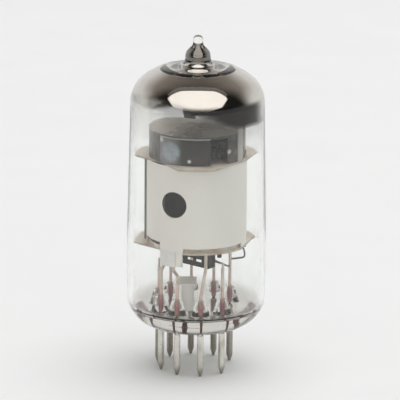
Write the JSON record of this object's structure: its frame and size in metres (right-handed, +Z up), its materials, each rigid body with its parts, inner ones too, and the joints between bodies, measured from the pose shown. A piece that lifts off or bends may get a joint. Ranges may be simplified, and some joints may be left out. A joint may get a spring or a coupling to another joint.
{
  "type": "vacuum tube",
  "caption": "Miniature glass radio tube with a pin base, a round screen can between mica spacers and a silvered dome that ends in a small exhaust tip.",
  "frame": {"origin": "on the tube's axis, in the plane of the pin tips", "axes": "+Z up the tube's axis to the exhaust tip; +X towards the gap in the pin circle; pins are numbered anticlockwise seen from above, from the gap"},
  "size_m": [0.0217, 0.0216, 0.0531],
  "materials": {
    "glass": "clear blown soda glass",
    "pin_nickel": "nickel wire, dulled and lightly scratched by sockets",
    "seal_copper": "oxidised copper-clad wire seen through glass",
    "lead_nickel": "satin drawn wire",
    "mica": "translucent mica sheet with an insulating coating",
    "screen_nickel": "pale satin nickel-plated sheet",
    "cap_nickel": "smoother nickel sheet that mirrors the dome",
    "blackened_nickel": "carbonised matt black sheet",
    "getter_metal": "flashed getter metal, dark mirror",
    "heater_coating": "white alumina coating"
  },
  "bodies": {
    "root": {"anode": "blackened_nickel", "button_stem": "glass", "cap_joint": "cap_nickel", "cathode_sleeve": "lead_nickel", "cathode_tie": "lead_nickel", "control_grid": "lead_nickel", "control_grid_tie": "lead_nickel", "getter_arm": "lead_nickel", "getter_ring": "getter_metal", "getter_strip": "screen_nickel", "glass_bulb": "glass", "heater": "heater_coating", "lead_1": "lead_nickel", "lead_2": "lead_nickel", "lead_3": "lead_nickel", "lead_4": "lead_nickel", "lead_5": "lead_nickel", "lead_6": "lead_nickel", "lead_7": "lead_nickel", "lead_8": "lead_nickel", "lead_9": "lead_nickel", "lower_bracket": "blackened_nickel", "lower_mica": "mica", "pin_1": "pin_nickel", "pin_2": "pin_nickel", "pin_3": "pin_nickel", "pin_4": "pin_nickel", "pin_5": "pin_nickel", "pin_6": "pin_nickel", "pin_7": "pin_nickel", "pin_8": "pin_nickel", "pin_9": "pin_nickel", "screen_can": "screen_nickel", "screen_cap": "cap_nickel", "screen_grid": "lead_nickel", "screen_grid_tie": "lead_nickel", "screen_wire_tail": "lead_nickel", "seal_1": "seal_copper", "seal_2": "seal_copper", "seal_3": "seal_copper", "seal_4": "seal_copper", "seal_5": "seal_copper", "seal_6": "seal_copper", "seal_7": "seal_copper", "seal_8": "seal_copper", "seal_9": "seal_copper", "shield_strap": "screen_nickel", "stem_shield": "screen_nickel", "suppressor_grid": "lead_nickel", "suppressor_tie": "lead_nickel", "upper_mica": "mica"}
  },
  "joints": []
}
